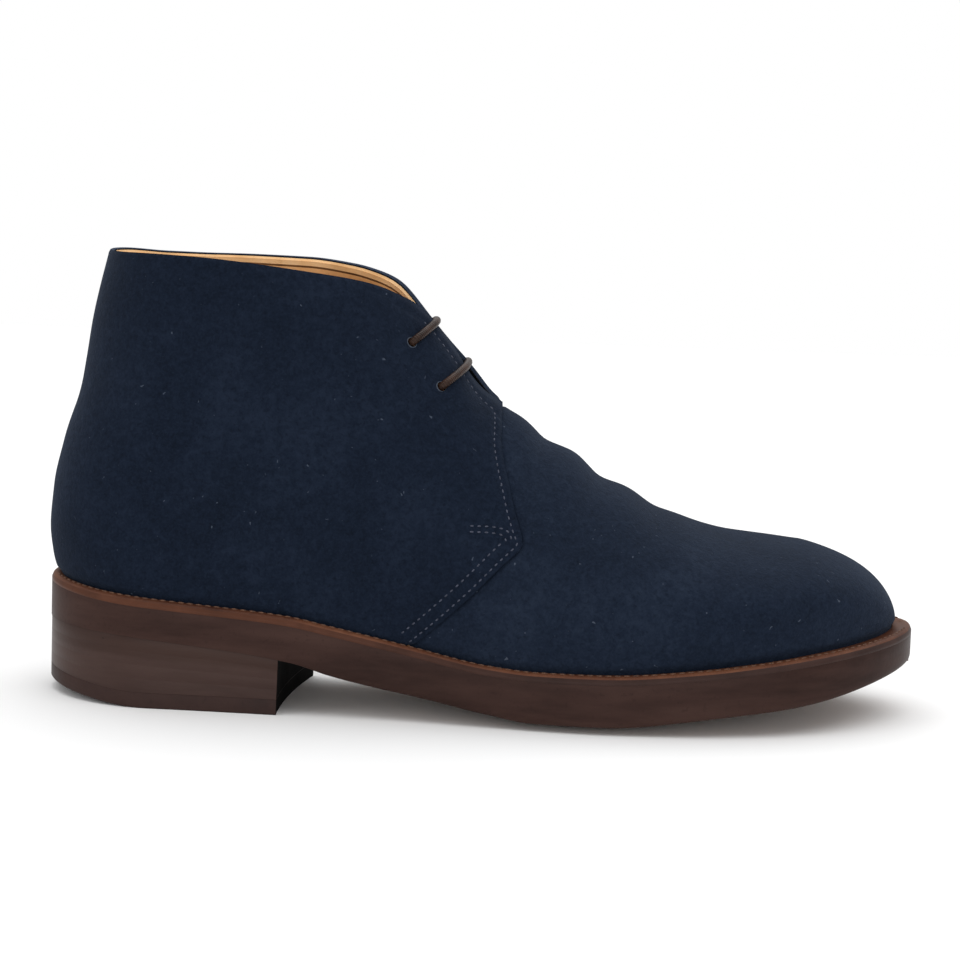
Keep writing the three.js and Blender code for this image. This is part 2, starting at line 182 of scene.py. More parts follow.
# ---------- curves and forms ----------
def curve(table, key, at, along="x"):
    """Shape-preserving cubic through one column of a table."""
    xs = np.array(table[along], float)
    ys = np.array(table[key], float)
    h = np.diff(xs)
    d = np.diff(ys) / h
    m = np.zeros_like(ys)
    m[0], m[-1] = d[0], d[-1]
    for k in range(1, len(xs) - 1):
        if d[k - 1] * d[k] > 0:
            near, far = 2 * h[k] + h[k - 1], h[k] + 2 * h[k - 1]
            m[k] = (near + far) / (near / d[k - 1] + far / d[k])
    at = np.clip(np.asarray(at, float), xs[0], xs[-1])
    i = np.clip(np.searchsorted(xs, at, side="right") - 1, 0, len(xs) - 2)
    t = (at - xs[i]) / h[i]
    ends = ys[i] * (1 + 2 * t) * (1 - t) ** 2 + ys[i + 1] * t * t * (3 - 2 * t)
    return ends + h[i] * (m[i] * t * (1 - t) ** 2 - m[i + 1] * t * t * (1 - t))


def clamp01(value):
    return np.clip(value, 0.0, 1.0)


def smooth(value):
    value = clamp01(value)
    return value * value * (3 - 2 * value)


def bell(gap, width):
    """1 where there is no gap, sinking softly to 0 a few widths away."""
    return np.exp(-((gap / width) ** 2))


def end_round(distance, length, power=2.0):
    """0 at the end of a form, 1 once it is `length` away from it."""
    return np.sqrt(np.maximum(0.0, 1 - (1 - clamp01(distance / length)) ** power))


def side_name(side):
    return "lateral" if side < 0 else "medial"


def plan_axis(x):
    return curve(PLAN, "axis", x)


def underside(x):
    return curve(SOLE, "under", x)


def welt_top(x):
    return curve(SOLE, "welt", x)


def plan_edge(x, side, inset=0.0):
    """Edge of the sole from above, moved inwards by `inset`."""
    scaled = (x - inset) * SOLE_LENGTH / (SOLE_LENGTH - 2 * inset)
    breadth = curve(PLAN, side_name(side), scaled) - inset
    ends = end_round(scaled, HEEL_ROUND) * end_round(SOLE_LENGTH - scaled, TOE_ROUND, TOE_FULLNESS)
    return plan_axis(scaled) + side * breadth * ends


def half_width(x):
    """Half the breadth of the sole at one station."""
    return float(plan_edge(x, 1) - plan_edge(x, -1)) / 2


def back_seam(z):
    return curve(BACK, "x", z, "z")


def to_sole(x):
    """Station of the sole that lies under one of the upper, which is a little shorter."""
    return (x - UPPER_BACK) * SOLE_LENGTH / (UPPER_TOE - UPPER_BACK)


def upper_axis(x):
    return plan_axis(to_sole(x))


def toe_drop(x):
    return end_round(UPPER_TOE - x, TOE_CAP_LENGTH, TOE_CAP_DROP)


def bulge_level(x):
    return welt_top(x) + BULGE_HEIGHT * toe_drop(x)


def ridge_height(x):
    return welt_top(x) + (curve(RIDGE, "z", x) - welt_top(x)) * toe_drop(x)


def widest(x, z, side):
    """Half-breadth of the upper at its bulge, with the collar's flare and both round ends."""
    feather = curve(PLAN, side_name(side), to_sole(x)) * FEATHER_SCALE
    flare = COLLAR_FLARE * smooth((z - FLARE_BOTTOM) / FLARE_RISE)
    collar = 1 + flare * smooth((FLARE_FRONT - x) / FLARE_FADE)
    back = end_round(x - back_seam(z), HEEL_ROUND)
    return feather * collar * back * end_round(UPPER_TOE - x, UPPER_TOE_ROUND, TOE_FULLNESS)


def half_breadth(x, z, side):
    """Half-breadth of the upper: out to its bulge, then arched in to the ridge."""
    floor = welt_top(x)
    bulge = np.maximum(bulge_level(x), floor + 0.01)
    rising = np.sin(np.pi / 2 * clamp01((z - floor) / (bulge - floor)))
    top = np.maximum(ridge_height(x), bulge + 0.1)
    climbed = clamp01((z - bulge) / (top - bulge))
    arch = np.sqrt(np.maximum(0.0, 1 - climbed ** curve(RIDGE, "fullness", x)))
    return widest(x, z, side) * (1 + BULGE * rising) * arch


def on_upper(x, z, side):
    """Points on the outside of the upper, given by their place in the side view."""
    y = upper_axis(x) + side * half_breadth(x, z, side)
    return np.stack([x + 0 * y, y, z + 0 * y], axis=-1)


def upper_normal(x, z, side, reach=0.35):
    """Outward direction of the upper, from points `reach` to each side."""
    along_x = on_upper(x + reach, z, side) - on_upper(x - reach, z, side)
    along_z = on_upper(x, z + reach, side) - on_upper(x, z - reach, side)
    normal = np.cross(along_z, along_x) * side
    return normal / np.maximum(np.linalg.norm(normal, axis=-1, keepdims=True), 1e-9)


def height_at(x, offset, side):
    """Height at which the upper is `offset` to one side of its axis."""
    share = clamp01(offset / (widest(x, ridge_height(x), side) * (1 + BULGE)))
    climbed = (1 - share ** 2) ** (1 / curve(RIDGE, "fullness", x))
    return bulge_level(x) + (ridge_height(x) - bulge_level(x)) * climbed


def along_line(points, t):
    """Points at shares t of a line's length, smoothly through its corners."""
    points = np.array(points, float)
    run = np.concatenate([[0], np.cumsum(np.hypot(*np.diff(points, axis=0).T))])
    table = {"s": run / run[-1], "x": points[:, 0], "z": points[:, 1]}
    return curve(table, "x", t, "s"), curve(table, "z", t, "s")


def line_distance(x, z, points):
    """Distance to a line in the side view, positive on its left-hand side."""
    points = np.array(points, float)
    best = np.full(np.shape(x), 1e9)
    signed = np.zeros(np.shape(x))
    for (ax, az), (bx, bz) in zip(points[:-1], points[1:]):
        dx, dz = bx - ax, bz - az
        t = clamp01(((x - ax) * dx + (z - az) * dz) / (dx * dx + dz * dz))
        gap = np.hypot(x - ax - t * dx, z - az - t * dz)
        turn = np.sign(dx * (z - az) - dz * (x - ax))
        closer = gap < best
        best = np.where(closer, gap, best)
        signed = np.where(closer, gap * np.where(turn == 0, 1, turn), signed)
    return signed


def fine_line(points, count=60):
    """The same line drawn smoothly through many points."""
    return np.stack(along_line(points, np.linspace(0, 1, count)), axis=-1)


SLANT_LINE = fine_line(QUARTER_SLANT)
FRONT_LINE = fine_line(QUARTER_FRONT)
QUARTER_LINE = np.concatenate([SLANT_LINE, FRONT_LINE[1:]])


def folds(x, z, table):
    """Sum of soft troughs (and ridges, where the depth is negative) in the side view."""
    total = np.zeros(np.shape(x))
    for (ax, az), (bx, bz), depth, width in table:
        dx, dz = bx - ax, bz - az
        run = ((x - ax) * dx + (z - az) * dz) / (dx * dx + dz * dz)
        gap = ((x - ax) * dz - (z - az) * dx) / math.hypot(dx, dz)
        fade = smooth((FOLD_END - run) / FOLD_FADE) * smooth((run + FOLD_START) / FOLD_ONSET)
        total -= depth * bell(gap, width * (1 + FOLD_SPREAD * clamp01(run))) * fade
    return total


def handmade(x, y, z):
    """Small unevenness of leather pulled over a last."""
    waves = np.sin(x / 9.1 + 0.7 * np.sin(z / 13)) * np.sin(z / 8.3 + y / 17)
    return 0.10 * waves + 0.07 * np.sin(x / 4.3 + z / 5.9 + 1.7) * np.sin(y / 6.1 - z / 7.7)


# ---------- making pieces ----------
def place(points):
    """From millimetres along the boot to the frame's metres."""
    return (np.asarray(points, float) + HEEL_BACK) * MM


def deselect_all():
    """Back to object mode with nothing selected."""
    if bpy.context.object and bpy.context.object.mode != "OBJECT":
        bpy.ops.object.mode_set(mode="OBJECT")
    bpy.ops.object.select_all(action="DESELECT")


def only(obj):
    deselect_all()
    obj.select_set(True)
    bpy.context.view_layer.objects.active = obj


def in_edit(obj, *steps):
    """Runs steps in edit mode, with the whole mesh selected."""
    only(obj)
    bpy.ops.object.mode_set(mode="EDIT")
    bpy.ops.mesh.select_all(action="SELECT")
    for step in steps:
        step()
    bpy.ops.object.mode_set(mode="OBJECT")


def merge(distance=1e-6):
    return lambda: bpy.ops.mesh.remove_doubles(threshold=distance)


def outward():
    bpy.ops.mesh.normals_make_consistent(inside=False)


def shaped_grid(name, points, materials, bands=None):
    """A grid laid on rows of points; bands gives each strip across the rows its material."""
    rows, columns = points.shape[:2]
    deselect_all()
    bpy.ops.mesh.primitive_grid_add(x_subdivisions=columns - 1, y_subdivisions=rows - 1, size=1)
    obj = bpy.context.object
    obj.name = name
    obj.data.name = name
    obj.data.vertices.foreach_set("co", place(points).reshape(-1))
    for material in materials:
        obj.data.materials.append(material)
    if bands is not None:
        strips = np.tile(np.asarray(bands), rows - 1)
        obj.data.polygons.foreach_set("material_index", strips.astype(np.int32))
    obj.data.update()
    return obj


def apply_modifier(obj, kind, **settings):
    only(obj)
    modifier = obj.modifiers.new(kind.title(), kind)
    for key, value in settings.items():
        setattr(modifier, key, value)
    bpy.ops.object.modifier_apply(modifier=modifier.name)


def thicken(obj, thickness, middle, rim_material=0):
    """Turns an open sheet's faces away from a point inside the boot and adds its thickness."""
    inside = Vector(place(middle))
    total = sum((p.center - inside).dot(p.normal) * p.area for p in obj.data.polygons)
    if total < 0:
        in_edit(obj, bpy.ops.mesh.flip_normals)
    apply_modifier(
        obj, "SOLIDIFY", thickness=thickness * MM, offset=-1.0, use_even_offset=False,
        use_rim=True, material_offset_rim=rim_material,
    )


def round_edges(obj, width, segments=2, angle=55):
    apply_modifier(
        obj, "BEVEL", width=width * MM, segments=segments, limit_method="ANGLE",
        angle_limit=math.radians(angle), harden_normals=False, use_clamp_overlap=True,
    )


def smooth_shade(obj, angle=50):
    only(obj)
    bpy.ops.object.shade_smooth_by_angle(angle=math.radians(angle))


def cut_away(obj, cutter):
    apply_modifier(obj, "BOOLEAN", operation="DIFFERENCE", object=cutter, solver="EXACT")
    bpy.data.objects.remove(cutter)


def join(name, pieces):
    deselect_all()
    for piece in pieces:
        piece.select_set(True)
    bpy.context.view_layer.objects.active = pieces[0]
    bpy.ops.object.join()
    pieces[0].name = name
    pieces[0].data.name = name
    return pieces[0]


def belongs(obj, slot, *nodes):
    """Ties a finished piece to the frame, in place of any solids named."""
    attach(obj, "root")
    if nodes:
        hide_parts(*nodes)


# ---------- materials ----------
class Nodes:
    """Small helper that lays nodes for one material in order."""

    def __init__(self, name):
        self.material = bpy.data.materials.new(name)
        self.material.use_nodes = True
        self.tree = self.material.node_tree
        self.shader = self.tree.nodes["Principled BSDF"]
        self.place = self.add("ShaderNodeTexCoord").outputs["Object"]

    def add(self, kind, **settings):
        node = self.tree.nodes.new(kind)
        for key, value in settings.items():
            setattr(node, key, value)
        return node

    def link(self, out, socket):
        self.tree.links.new(out, socket)

    def stretched(self, scale):
        node = self.add("ShaderNodeMapping")
        node.inputs["Scale"].default_value = scale
        self.link(self.place, node.inputs["Vector"])
        return node.outputs["Vector"]

    def noise(self, scale, detail, roughness, distortion=0.0, where=None):
        node = self.add("ShaderNodeTexNoise")
        self.link(where or self.place, node.inputs["Vector"])
        node.inputs["Scale"].default_value = scale
        node.inputs["Detail"].default_value = detail
        node.inputs["Roughness"].default_value = roughness
        node.inputs["Distortion"].default_value = distortion
        return node.outputs["Fac"]

    def ramp(self, factor, *stops):
        node = self.add("ShaderNodeValToRGB")
        self.link(factor, node.inputs["Fac"])
        elements = node.color_ramp.elements
        while len(elements) < len(stops):
            elements.new(0.5)
        for element, (position, colour) in zip(elements, stops):
            element.position = position
            if isinstance(colour, (int, float)):
                colour = (colour, colour, colour)
            element.color = (*colour, 1)
        return node.outputs["Color"]

    def feed(self, socket, value):
        """Links a socket, or sets its number or colour."""
        if isinstance(value, bpy.types.NodeSocket):
            self.link(value, socket)
        else:
            socket.default_value = (*value, 1) if isinstance(value, tuple) else value

    def mix(self, factor, first, second, blend="MIX"):
        node = self.add("ShaderNodeMix", data_type="RGBA", blend_type=blend)
        for value, socket in ((factor, 0), (first, 6), (second, 7)):
            self.feed(node.inputs[socket], value)
        return node.outputs[2]

    def maths(self, operation, first, second):
        node = self.add("ShaderNodeMath", operation=operation)
        self.feed(node.inputs[0], first)
        self.feed(node.inputs[1], second)
        return node.outputs[0]

    def along(self, axis):
        """The piece's own coordinate along X, Y or Z, in metres."""
        split = self.add("ShaderNodeSeparateXYZ")
        self.link(self.place, split.inputs["Vector"])
        return split.outputs[axis]

    def between(self, value, low, high):
        """0 below `low`, 1 above `high` and a soft step in between."""
        step = self.add("ShaderNodeMapRange", interpolation_type="SMOOTHSTEP")
        self.link(value, step.inputs["Value"])
        step.inputs["From Min"].default_value = low
        step.inputs["From Max"].default_value = high
        return step.outputs["Result"]

    def bump(self, height, strength, distance, under=None):
        node = self.add("ShaderNodeBump")
        node.inputs["Strength"].default_value = strength
        node.inputs["Distance"].default_value = distance * MM
        self.link(height, node.inputs["Height"])
        if under:
            self.link(under, node.inputs["Normal"])
        return node.outputs["Normal"]

    def finish(self, colour, normal, roughness, **constants):
        self.link(colour, self.shader.inputs["Base Color"])
        if normal:
            self.link(normal, self.shader.inputs["Normal"])
        self.feed(self.shader.inputs["Roughness"], roughness)
        for name, value in constants.items():
            self.feed(self.shader.inputs[name.replace("_", " ")], value)
        return self.material


def suede(name, deep, mid, lit, fleck):
    """Brushed nap: cloudy strokes, tufts, painted shade in the pits between hairs and a little lint."""
    n = Nodes(name)
    brushed = n.noise(26, 4, 0.6, 0.6)
    tufts = n.noise(400, 5, 0.65, 0.4)
    nap = n.noise(1100, 3, 0.7)
    strokes = n.ramp(brushed, (0.25, 0.1), (0.75, 0.9))
    shade = n.mix(0.5, strokes, n.ramp(tufts, (0.28, 0.1), (0.72, 0.9)))
    colour = n.ramp(shade, (0.12, deep), (0.5, mid), (0.92, lit))
    colour = n.mix(n.ramp(nap, (0.45, 0.0), (0.75, 0.5)), colour, lit)
    # Painted shade in the pits between the hairs.
    painted_pit_shade = n.ramp(n.noise(760, 2, 0.6), (0.28, 0.55), (0.46, 0.0))
    colour = n.mix(painted_pit_shade, colour, deep)
    lint = n.ramp(n.noise(520, 1, 0.4, 0.6), (0.77, 0.0), (0.80, 0.7))
    colour = n.mix(lint, colour, fleck)
    soft = n.bump(tufts, 0.35, 0.7)
    fuzzy = n.bump(nap, 0.5, 0.35, soft)
    return n.finish(
        colour, fuzzy, 0.95, Specular_IOR_Level=0.05,
        Sheen_Weight=0.07, Sheen_Roughness=0.45, Sheen_Tint=(0.50, 0.60, 0.80),
    )


def dyed_hide(n, dark, base, light, grain, streak):
    """Clouds and streaks of dye, stretched by `streak`, over a grain: colour, surface and parts."""
    where = n.stretched(streak)
    clouds = n.noise(34, 4, 0.6, 0.5, where)
    streaks = n.noise(150, 3, 0.6, 0.2, where)
    pores = n.noise(grain, 3, 0.6, 0.2)
    colour = n.ramp(clouds, (0.3, dark), (0.5, base), (0.74, light))
    colour = n.mix(n.ramp(streaks, (0.4, 0.0), (0.75, 0.35)), colour, light)
    normal = n.bump(pores, 0.25, 0.25, n.bump(streaks, 0.2, 0.3))
    return colour, normal, clouds, pores


def leather(name, dark, base, light, roughness, grain, shine=0.16, streak=(1, 1, 1)):
    """Dyed hide with darker pores and an uneven polish."""
    n = Nodes(name)
    colour, normal, clouds, pores = dyed_hide(n, dark, base, light, grain, streak)
    colour = n.mix(n.ramp(pores, (0.25, 0.5), (0.42, 0.0)), colour, dark)
    polish = n.ramp(clouds, (0.3, roughness * 0.85), (0.7, min(1.0, roughness * 1.15)))
    return n.finish(colour, normal, polish, Specular_IOR_Level=shine)


def stack_leather(name, dark, base, light, top_tint):
    """Layers along the heel, darker above a line that drops to the breast."""
    drop_to_breast, unevenness = 0.05, 0.0015
    n = Nodes(name)
    colour, normal, _, _ = dyed_hide(n, dark, base, light, 600, (0.3, 0.3, 2.2))
    level = n.maths("ADD", n.along("Z"), n.maths("MULTIPLY", n.along("X"), drop_to_breast))
    level = n.maths("ADD", level, n.maths("MULTIPLY", n.noise(60, 2, 0.5), unevenness))
    above = n.between(level, 0.0115, 0.0135)
    colour = n.mix(1.0, colour, n.mix(above, (1.0, 1.0, 1.0), top_tint), "MULTIPLY")
    specks = n.ramp(n.noise(330, 1, 0.4, 0.3), (0.785, 0.0), (0.80, 0.8))
    colour = n.mix(specks, colour, (0.006, 0.004, 0.004))
    return n.finish(colour, normal, 0.40, Specular_IOR_Level=0.13)


def welt_side_leather(name, rear, front, fade):
    """Welt leather whose side is stained darker from the heel towards the ball."""
    n = Nodes(name)
    clouds = n.noise(60, 4, 0.6, 0.5)
    pores = n.noise(700, 3, 0.6, 0.2)
    forward = n.between(n.along("X"), *fade)
    worn = n.ramp(clouds, (0.3, 0.7), (0.7, 1.15))
    colour = n.mix(1.0, n.mix(forward, rear, front), worn, "MULTIPLY")
    return n.finish(colour, n.bump(pores, 0.25, 0.25), 0.45, Specular_IOR_Level=0.12)


def thread(name, dark, light):
    """Twisted sewing thread."""
    n = Nodes(name)
    twist = n.noise(1500, 2, 0.6)
    colour = n.ramp(twist, (0.35, dark), (0.65, light))
    return n.finish(colour, n.bump(twist, 0.4, 0.2), 0.7)


def waxed_cord(name):
    """Round braided lace, with painted shade in its furrows."""
    n = Nodes(name)
    braid = n.add("ShaderNodeTexWave", wave_type="BANDS", bands_direction="DIAGONAL")
    n.link(n.place, braid.inputs["Vector"])
    braid.inputs["Scale"].default_value = 420
    braid.inputs["Distortion"].default_value = 1.5
    braid.inputs["Detail"].default_value = 2
    patches = n.noise(220, 3, 0.6)
    colour = n.ramp(patches, (0.3, (0.012, 0.0055, 0.0038)), (0.7, (0.050, 0.023, 0.014)))
    # Painted shade darkens the braid's furrows.
    colour = n.mix(n.ramp(braid.outputs["Color"], (0.1, 0.4), (0.5, 0.0)), colour, (0.006, 0.004, 0.003))
    return n.finish(colour, n.bump(braid.outputs["Color"], 0.5, 0.15), 0.38, Specular_IOR_Level=0.16)


def floor_finish():
    n = Nodes("pale_floor")
    colour = n.ramp(n.noise(3, 2, 0.5), (0.3, 0.91), (0.7, 0.93))
    return n.finish(colour, None, 0.8, Specular_IOR_Level=0.2)


# Suede of the quarters and tongue, set a little darker as painted shade on the quarters.
SUEDE = suede(
    "navy_suede", (0.0031, 0.0053, 0.0105), (0.0057, 0.0096, 0.0192), (0.0125, 0.0192, 0.0350),
    fleck=(0.06, 0.075, 0.105),
)
# Lighter copy of the same suede: painted light on the vamp and toe.
LIT_VAMP_SUEDE = suede(
    "navy_suede_vamp_painted_light", (0.0044, 0.0072, 0.0136), (0.0078, 0.0126, 0.0242), (0.0165, 0.0245, 0.0420),
    fleck=(0.07, 0.085, 0.115),
)
# Cut edges of the suede: paler than its face, and lightened further as a painted highlight along the
# edges.
LIT_SUEDE_EDGE = suede(
    "navy_cut_edge_painted_highlight", (0.012, 0.018, 0.032), (0.026, 0.036, 0.060), (0.055, 0.070, 0.105),
    fleck=(0.08, 0.1, 0.13),
)
# Painted highlight for the cut edge round each lace hole.
EYELET_HIGHLIGHT = suede(
    "eyelet_cut_edge_painted_highlight", (0.020, 0.026, 0.038), (0.045, 0.055, 0.075), (0.10, 0.115, 0.145),
    fleck=(0.15, 0.17, 0.2),
)
LINING = leather("tan_lining", (0.50, 0.25, 0.09), (0.74, 0.41, 0.17), (0.84, 0.52, 0.25), 0.62, 520)
# Top band of the lining: paler edge leather, made lighter still as painted light where the inside of the
# collar catches the light.
LIT_LINING_EDGE = leather(
    "tan_lining_edge_painted_light", (0.62, 0.35, 0.14), (0.86, 0.55, 0.27), (0.95, 0.68, 0.40), 0.6, 620,
)
# Dark line along the lining, just under its top band.
LINING_DARK_LINE = leather(
    "tan_lining_dark_line", (0.05, 0.022, 0.010), (0.12, 0.055, 0.022), (0.26, 0.13, 0.05), 0.8, 900,
    shine=0.1,
)
INSOLE = leather("tan_insole", (0.33, 0.16, 0.06), (0.50, 0.26, 0.11), (0.60, 0.35, 0.17), 0.55, 480)
WELT_TOP = leather(
    "welt_top", (0.040, 0.013, 0.007), (0.086, 0.029, 0.014), (0.155, 0.060, 0.029), 0.5, 700,
)
WELT_SIDE = welt_side_leather(
    "welt_side", rear=(0.082, 0.029, 0.015), front=(0.036, 0.0180, 0.0146), fade=(-0.09, 0.03),
)
SOLE_EDGE = leather(
    "sole_edge", (0.021, 0.0108, 0.0090), (0.036, 0.0185, 0.0152), (0.054, 0.029, 0.0235), 0.42, 600,
    shine=0.06, streak=(0.35, 0.35, 2.0),
)
HEEL_STACK = stack_leather(
    "heel_stack", (0.034, 0.0180, 0.0150), (0.046, 0.0255, 0.0212), (0.060, 0.035, 0.029),
    top_tint=(0.78, 0.72, 0.68),
)
TOP_PIECE = leather(
    "top_piece", (0.018, 0.0080, 0.0066), (0.028, 0.0130, 0.0106), (0.038, 0.019, 0.0155), 0.52, 600,
)
# Near-black painted shade for the heel's breast faces, where the hollow under the waist lies in shadow.
BREAST_SHADE = leather(
    "breast_painted_shade", (0.001, 0.001, 0.001), (0.002, 0.0018, 0.0018), (0.004, 0.0035, 0.0035), 0.9, 500,
    shine=0.03,
)
SOLE_BOTTOM = leather(
    "sole_bottom", (0.085, 0.045, 0.026), (0.14, 0.078, 0.047), (0.20, 0.12, 0.076), 0.5, 520,
)
THREAD = thread("navy_thread", (0.014, 0.018, 0.034), (0.050, 0.058, 0.090))
WELT_THREAD = thread("welt_thread", (0.045, 0.018, 0.008), (0.13, 0.055, 0.026))
CORD = waxed_cord("waxed_cord")


# ---------- light, camera, floor ----------
CAMERA_PLACE = (150, -1000, 211.7)
CAMERA_DIP = 7.6
CAMERA_ROLL = 2.0
CAMERA_LENS = 107.5
SENSOR_WIDTH = 36
WORLD_LIGHT = 0.61
BACKDROP_LIGHT = 1.0
FLOOR_SIZE = 3.0
# Name, place, target and size in metres, and power in watts.
SOFTBOXES = (
    ("top_softbox", (0.25, 0.4, 2.1), (0.05, 0.15, 0), (4.4, 3.8), 62),
    ("left_softbox", (-1.0, -0.55, 0.45), (-0.08, 0, 0.06), (0.45, 0.7), 1.6),
    ("front_softbox", (0.15, -1.9, 0.40), (0.04, 0, 0.04), (2.6, 0.6), 10),
)


def make_camera():
    bpy.ops.object.camera_add(location=place(CAMERA_PLACE))
    camera = bpy.context.object
    camera.name = "camera"
    tilt = Matrix.Rotation(math.radians(90 - CAMERA_DIP), 4, "X")
    roll = Matrix.Rotation(math.radians(CAMERA_ROLL), 4, "Z")
    camera.rotation_euler = (tilt @ roll).to_euler()
    camera.data.lens = CAMERA_LENS
    camera.data.sensor_width = SENSOR_WIDTH
    camera.data.clip_end = 20
    bpy.context.scene.camera = camera


def make_light(name, location, target, size, power):
    bpy.ops.object.light_add(type="AREA", location=location)
    light = bpy.context.object
    light.name = name
    light.data.shape = "RECTANGLE"
    light.data.size, light.data.size_y = size
    light.data.energy = power
    aim = Vector(target) - Vector(location)
    light.rotation_euler = aim.to_track_quat("-Z", "Y").to_euler()


def make_world():
    """White surroundings, seen brighter than they light the boot."""
    world = bpy.data.worlds.new("studio")
    bpy.context.scene.world = world
    world.use_nodes = True
    background = world.node_tree.nodes["Background"]
    background.inputs["Color"].default_value = (1, 1, 1, 1)
    path = world.node_tree.nodes.new("ShaderNodeLightPath")
    level = world.node_tree.nodes.new("ShaderNodeMapRange")
    level.inputs["To Min"].default_value = WORLD_LIGHT
    level.inputs["To Max"].default_value = BACKDROP_LIGHT
    world.node_tree.links.new(path.outputs["Is Camera Ray"], level.inputs["Value"])
    world.node_tree.links.new(level.outputs["Result"], background.inputs["Strength"])


def make_studio():
    deselect_all()
    make_camera()
    make_world()
    for softbox in SOFTBOXES:
        make_light(*softbox)
    bpy.ops.mesh.primitive_plane_add(size=FLOOR_SIZE, location=(0, 0, 0))
    floor = bpy.context.object
    floor.name = "studio_floor"
    floor.data.materials.append(floor_finish())
    floor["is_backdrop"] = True
    bpy.context.scene.view_settings.view_transform = "Standard"


# ---------- the sole ----------
def stations(start, end, count):
    """Stations from start to end, closer together towards both."""
    t = np.linspace(0, 1, count)
    return start + (end - start) * (1 - np.cos(np.pi * t)) / 2


def section(x, side, profile):
    """One side of a section, from the profile's (inset, height) pairs, kept on its own half."""
    half = half_width(x)
    return [(x, float(plan_edge(x, side, min(inset, half))), z) for inset, z in profile(x)]


def plate(name, xs, profile, materials, bands=None, flat_ends=False):
    """Closed plate with the sole's outline, its edge shaped by a profile."""
    rows = []
    for x in xs:
        lateral, medial = section(x, -1, profile), section(x, 1, profile)
        rows.append(lateral + medial[::-1] + lateral[:1])
    obj = shaped_grid(name, np.array(rows), materials, bands)
    steps = [merge()]
    if flat_ends:
        steps.append(close_holes)
    in_edit(obj, *steps, outward)
    return obj


def close_holes():
    bpy.ops.mesh.select_all(action="DESELECT")
    bpy.ops.mesh.select_non_manifold()
    bpy.ops.mesh.edge_face_add()
    bpy.ops.mesh.select_all(action="SELECT")


def outsole_profile(x):
    """Down the edge of the sole, round its foot and up under the crowned waist and forepart."""
    half = half_width(x)
    crown = SOLE_CROWN * float(smooth((x - CROWN_START) / CROWN_RUN))
    rounding = float(smooth((x - HEEL_LENGTH + 6) / 12))
    bottom = float(underside(x))
    top = float(welt_top(x)) - WELT_THICKNESS - LAYER_GAP
    wide = min(SOLE_CROWN_WIDTH, half * 0.9)
    tip = min(FOOT_EDGE["inset"][-1], SOLE_LENGTH - x)
    down = [(min(3.0, half * 0.95), top), (0.3, top), (0.03, top), (0, top - 0.1)]
    swell = -EDGE_SWELL * float(smooth(min(x, SOLE_LENGTH - x) / 6))
    down += [(swell, top - (top - bottom - crown) * share) for share in (0.3, 0.5, 0.7)]
    for inset in FOOT_EDGE["inset"]:
        rise = float(np.interp(min(inset, tip), FOOT_EDGE["inset"], FOOT_EDGE["rise"]))
        down.append((inset * rounding, bottom + crown + rise * rounding + 0.05 * (inset == 0)))
    corner = min(FOOT_EDGE["inset"][-1] * rounding, half)
    for share in (0.2, 0.4, 0.6, 0.8, 1.0):
        inset = corner + (wide - corner) * share
        down.append((inset, bottom + crown * (1 - float(smooth(share)) * 0.999)))
    return down


def make_outsole():
    xs = stations(0, SOLE_LENGTH, 170)
    edge_strips, under_strips = 10, 5
    side = [0] * edge_strips + [1] * under_strips
    bands = side + [1] + side[::-1] + [0]
    obj = plate("outsole_edge", xs, outsole_profile, [SOLE_EDGE, SOLE_BOTTOM], bands)
    smooth_shade(obj)
    belongs(obj, "sole_leather", "outsole")


def welt_profile(x):
    """Round the welt's section, from its inner foot over the top and down the outer side."""
    top = float(welt_top(x))
    bottom = top - WELT_THICKNESS
    inner = min(half_width(x), 4.5 + float(curve(PLAN, "medial", x)) * (1 - FEATHER_SCALE))

    def drop(inset):
        return float(np.interp(min(inset, x, SOLE_LENGTH - x), WELT_EDGE["inset"], WELT_EDGE["drop"]))

    steps = [(inner, bottom), (inner, top - max(0.35, drop(inner)))]
    steps += [(inset, top - drop(inset)) for inset in reversed(WELT_EDGE["inset"])]
    return steps + [(0.0, top - 2.5), (0.0, bottom + 0.05), (0.02, bottom), (2.5, bottom)]


def make_welt():
    """Frame of welt leather round the upper, bevelled along its top edge."""
    top_strips, side_strips = 6, 7
    bands = [0] * top_strips + [1] * side_strips
    parts = []
    for side in (-1, 1):
        rows = []
        for x in stations(0.0, SOLE_LENGTH, 180):
            ring = section(x, side, welt_profile)
            rows.append(ring + ring[:1] if side < 0 else ring[::-1] + ring[-1:])
        order = bands if side < 0 else bands[:-1][::-1] + [1]
        parts.append(shaped_grid("welt", np.array(rows), [WELT_TOP, WELT_SIDE], order))
    obj = join("welt_strip", parts)
    in_edit(obj, merge(2e-6), outward)
    smooth_shade(obj, 60)
    belongs(obj, "welt_leather", "welt")


def tread(x):
    return float(curve(TREAD, "z", x))


def top_piece_top(x):
    return tread(x) * 0.95 + TOP_PIECE_THICKNESS


def heel_layer_profile(bottom, top, foot, groove_count=0):
    """Sides of a heel layer with a broken edge at its foot and fine grooves between lifts."""
    def profile(x):
        low, high = bottom(x), top(x)
        rows = [(4, high), (0.02, high), (0.0, high - 0.05)]
        for k in range(groove_count):
            line = high + (low - high) * (k + 1) / (groove_count + 1)
            rows += [(0.0, line + 0.15), (0.025, line), (0.0, line - 0.15)]
        rows += [(0.0, low + foot), (foot * 0.8, low), (4, low)]
        return [(HEEL_INSET + inset, z) for inset, z in rows]
    return profile


